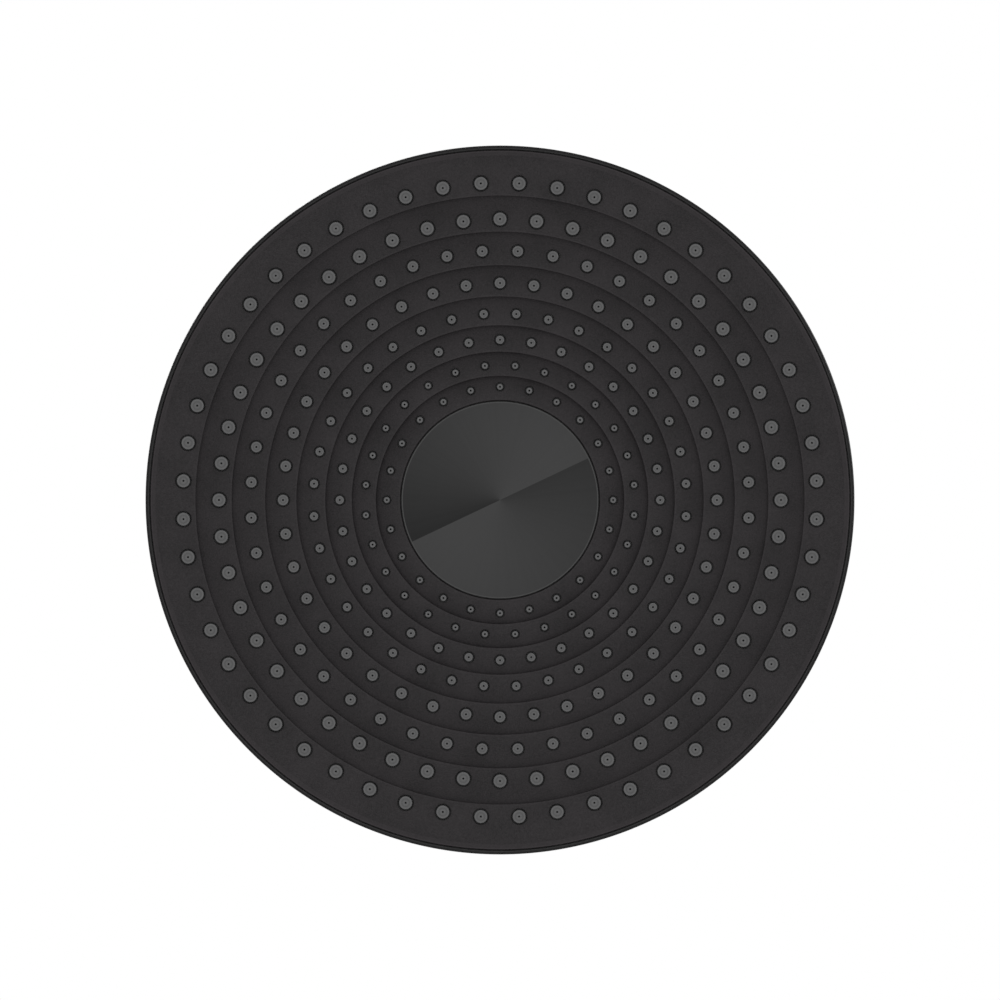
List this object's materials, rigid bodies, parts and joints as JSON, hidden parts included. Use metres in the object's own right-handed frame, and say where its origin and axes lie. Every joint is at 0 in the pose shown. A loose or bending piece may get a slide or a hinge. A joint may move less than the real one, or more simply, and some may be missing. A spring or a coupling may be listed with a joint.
{
  "type": "overhead rain shower head",
  "caption": "Round overhead rain shower head with stepped rings of soft nozzles, a domed back and a tilting ball-joint inlet with a threaded swivel nut.",
  "frame": {"origin": "centre of the mouth of the union nut's threaded hole, where the supply arm enters", "axes": "+Z along the inlet's axis, up towards the supply arm; the spray face looks down, along -Z"},
  "size_m": [0.3, 0.3, 0.0752],
  "materials": {
    "black_metal": "matt black plated brass, fine eggshell texture",
    "shell_black": "matt black moulded plastic with a fine grain",
    "face_black": "matt black moulded plastic with a fine grain, slightly warm",
    "cap_metal": "dark grey spun metal with fine concentric grooves",
    "silicone": "soft matt grey silicone",
    "inner_grey": "unpainted dark grey moulding",
    "ball_chrome": "polished plated ball",
    "liner_white": "off-white acetal",
    "seal_rubber": "black nitrile rubber",
    "screen_steel": "stainless screen",
    "regulator_green": "green moulded flow insert",
    "screw_steel": "stainless screw",
    "foam_black": "black adhesive foam"
  },
  "bodies": {
    "stem": {"ball_stem": "black_metal", "swivel_ball": "ball_chrome", "seal_washer": "seal_rubber", "filter_screen": "screen_steel", "flow_regulator": "regulator_green", "regulator_o_ring": "seal_rubber"},
    "nut": {"union_nut": "black_metal"},
    "friction_ring": {"friction_ring": "liner_white"},
    "ball_seat": {"ball_seat": "liner_white", "ball_o_ring": "seal_rubber"},
    "head": {"retaining_collar": "black_metal", "hub": "black_metal", "hub_o_ring": "seal_rubber", "hub_gasket": "seal_rubber", "back_shell": "shell_black", "chamber_plate": "inner_grey", "chamber_seal": "seal_rubber", "nozzle_mat": "silicone", "spray_face": "face_black", "rim_screws": "screw_steel", "core_screws": "screw_steel", "cap_pad": "foam_black", "centre_cap": "cap_metal"}
  },
  "joints": [
    {"name": "nut_turn", "type": "hinge", "parent": "stem", "child": "nut", "pos_m": [0, 0, -0.015], "axis": [0, 0, 1], "continuous": true},
    {"name": "tilt_x", "type": "hinge", "parent": "stem", "child": "friction_ring", "pos_m": [0, 0, -0.033], "axis": [1, 0, 0], "range_deg": [-15, 15]},
    {"name": "tilt_y", "type": "hinge", "parent": "friction_ring", "child": "ball_seat", "pos_m": [0, 0, -0.033], "axis": [0, 1, 0], "range_deg": [-15, 15]},
    {"name": "head_spin", "type": "hinge", "parent": "ball_seat", "child": "head", "pos_m": [0, 0, -0.033], "axis": [0, 0, 1], "continuous": true}
  ]
}
